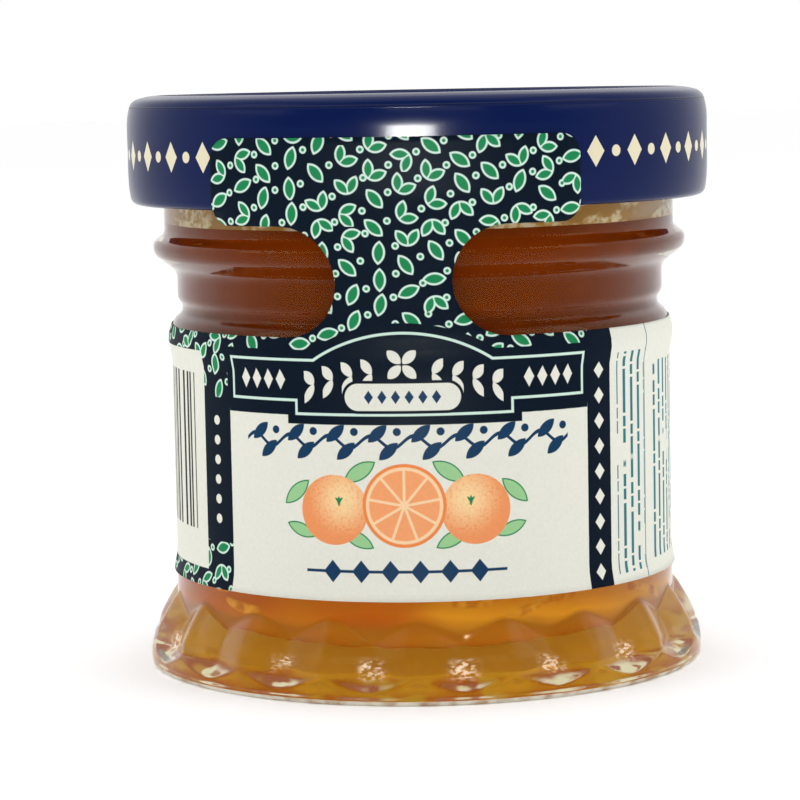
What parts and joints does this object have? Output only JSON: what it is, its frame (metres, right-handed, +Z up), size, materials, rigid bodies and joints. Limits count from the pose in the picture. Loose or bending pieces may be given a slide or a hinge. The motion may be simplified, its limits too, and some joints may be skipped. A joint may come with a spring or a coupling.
{
  "type": "marmalade jar",
  "caption": "Small thick glass jar of orange marmalade with a knobbed foot, a navy twist-off lid and a paper label whose tab runs up over the lid.",
  "frame": {"origin": "on the jar's axis, in the plane that the foot ring stands on", "axes": "+Z up along the jar's axis, -Y towards the front of the label, +X to the right seen from the front"},
  "size_m": [0.0454, 0.0458, 0.0446],
  "materials": {
    "glass": "clear, smooth and glossy, faintly grey-green",
    "marmalade": "translucent amber orange jelly with strips of peel",
    "lid_paint": "glossy navy enamel on pressed tinplate",
    "label_paper": "smooth printed paper, cream with navy and green print"
  },
  "bodies": {
    "root": {"jar": "glass", "marmalade": "marmalade", "lid": "lid_paint", "label": "label_paper"}
  },
  "joints": []
}
